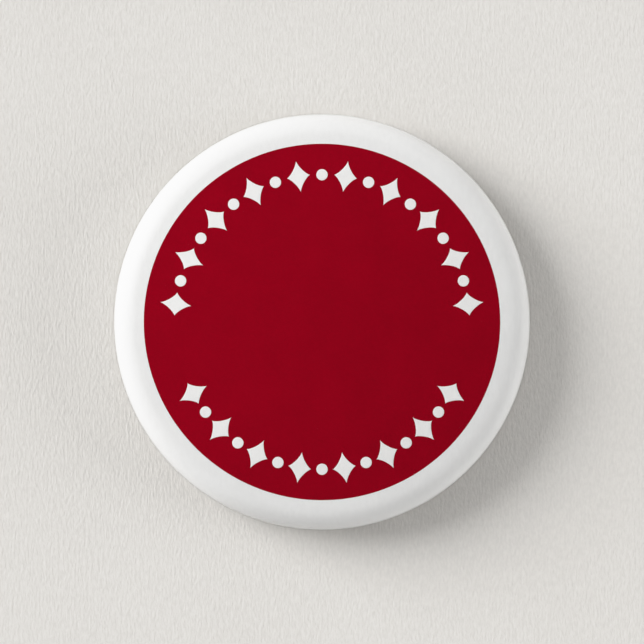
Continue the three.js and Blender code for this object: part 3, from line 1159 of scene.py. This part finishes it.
class BADGE_OT_shell(bpy.types.Operator):
    """Pressed tinplate shell, domed in front with its edge turned in behind"""

    bl_idname = "badge.shell"
    bl_label = "Front Shell"

    def execute(self, context):
        body = context.scene.badge_body
        outline = Outline(body)
        stations = outline.crown(context.scene.badge_print.disc_radius) + outline.side()
        plain = [station._replace(pleat=0.0) for station in stations]
        bm = skin(body, plain, outline.shell_depth, body.shell_gauge)
        finish = tinplate_finish(context.scene.badge_plate.steel)
        fit(piece("pressed_shell", bm, [finish]), "root", "tinplate", "front_shell")
        return {"FINISHED"}


class BADGE_OT_plate(bpy.types.Operator):
    """Dished back plate with two straps lanced out of it over the fixed wire"""

    bl_idname = "badge.plate"
    bl_label = "Back Plate"

    def execute(self, context):
        scene = context.scene
        plate = scene.badge_plate
        bm = back_sheet(Outline(scene.badge_body), plate, scene.badge_pin)
        made = piece("dished_back_plate", bm, [tinplate_finish(plate.steel)])
        give_wall(made, plate.gauge)
        fit(made, "root", "tinplate", "back_plate")
        return {"FINISHED"}


class BADGE_OT_wire(bpy.types.Operator):
    """The safety pin's wire: fixed length, coil and needle"""

    bl_idname = "badge.wire"
    bl_label = "Pin Wire"

    def execute(self, context):
        pin = context.scene.badge_pin
        finish = wire_finish(pin.nickel)
        radius = pin.wire_diameter / 2
        coil, spine = coil_centres(), spine_centres(pin)
        needle, needle_radii = needle_centres(pin)
        lengths = (
            ("fixed_wire", spine, [radius] * len(spine), "safety_pin", "pin_spine"),
            ("coiled_wire", coil, [radius] * len(coil), "coil", "pin_coil"),
            ("needle_wire", needle, needle_radii, "needle", "pin_needle"),
        )
        for name, centres, radii, body, node in lengths:
            fit(piece(name, sweep(centres, radii), [finish]), body, "nickel_wire", node)
        return {"FINISHED"}


class BADGE_OT_cap(bpy.types.Operator):
    """Folded sheet cap, crimped on the fixed wire and slotted for the needle"""

    bl_idname = "badge.cap"
    bl_label = "Pin Cap"

    def execute(self, context):
        pin = context.scene.badge_pin
        bm = cap_surface(pin)
        cut_cap(bm, pin)
        made = piece("folded_cap", bm, [cap_finish(pin.nickel)])
        give_wall(made, pin.cap_sheet)
        fit(made, "safety_pin", "nickel_sheet", "pin_cap")
        return {"FINISHED"}


class BADGE_OT_stage(bpy.types.Operator):
    """Pale table, two soft lights, a pale room and a camera straight above the face"""

    bl_idname = "badge.stage"
    bl_label = "Table, Lights and Camera"

    def execute(self, context):
        stage, scene = context.scene.badge_stage, context.scene
        bm = bmesh.new()
        bmesh.ops.create_grid(bm, x_segments=1, y_segments=1, size=stage.table_width / 2)
        table = piece("table", bm, [table_finish(stage.table_colour)])

        spread = stage.light_spread
        soft_light("key_light", spread, stage.key_power, stage.key_bearing, stage.key_elevation)
        soft_light("fill_light", spread, stage.fill_power, stage.fill_bearing, stage.fill_elevation)
        scene.world = studio_world(stage)
        soften_highlights(scene.view_settings)

        low, high = CAD_BOX
        centre = (low + high) / 2
        data = bpy.data.cameras.new("camera")
        data.lens = stage.lens
        data.clip_start, data.clip_end = 0.01, 10.0
        camera = bpy.data.objects.new("camera", data)
        distance = stage.view_width * stage.lens / data.sensor_width
        camera.location = (centre.x, centre.y, high.z + distance)
        scene.collection.objects.link(camera)
        scene.camera = camera
        return {"FINISHED"}


class BADGE_PT_sidebar(bpy.types.Panel):
    """Lists the badge's pieces in the sidebar"""

    bl_idname = "BADGE_PT_sidebar"
    bl_label = "Button Badge"
    bl_space_type = "VIEW_3D"
    bl_region_type = "UI"
    bl_category = "Badge"

    def draw(self, context):
        for operator in OPERATORS:
            self.layout.operator(operator.bl_idname)
        for name in SETTINGS:
            group = getattr(context.scene, name)
            box = self.layout.box()
            for key in group.bl_rna.properties.keys():
                if key not in {"name", "rna_type"}:
                    box.prop(group, key)


SETTINGS = {
    "badge_body": BadgeBody,
    "badge_print": BadgePrint,
    "badge_plate": BadgePlate,
    "badge_pin": BadgePin,
    "badge_stage": BadgeStage,
}
OPERATORS = (
    BADGE_OT_stage,
    BADGE_OT_shell,
    BADGE_OT_print,
    BADGE_OT_marks,
    BADGE_OT_film,
    BADGE_OT_plate,
    BADGE_OT_wire,
    BADGE_OT_cap,
)


def register():
    """Registers the settings, the operators and the panel."""
    for name, group in SETTINGS.items():
        bpy.utils.register_class(group)
        setattr(bpy.types.Scene, name, PointerProperty(type=group))
    for made in (*OPERATORS, BADGE_PT_sidebar):
        bpy.utils.register_class(made)


def unregister():
    """Undoes what register does."""
    for made in (BADGE_PT_sidebar, *reversed(OPERATORS)):
        bpy.utils.unregister_class(made)
    for name, group in reversed(SETTINGS.items()):
        delattr(bpy.types.Scene, name)
        bpy.utils.unregister_class(group)


def main():
    """Makes every piece."""
    register()
    bpy.ops.badge.stage()
    bpy.ops.badge.shell()
    bpy.ops.badge.print_sheet()
    bpy.ops.badge.marks()
    bpy.ops.badge.film()
    bpy.ops.badge.plate()
    bpy.ops.badge.wire()
    bpy.ops.badge.cap()


if __name__ == "__main__":
    main()
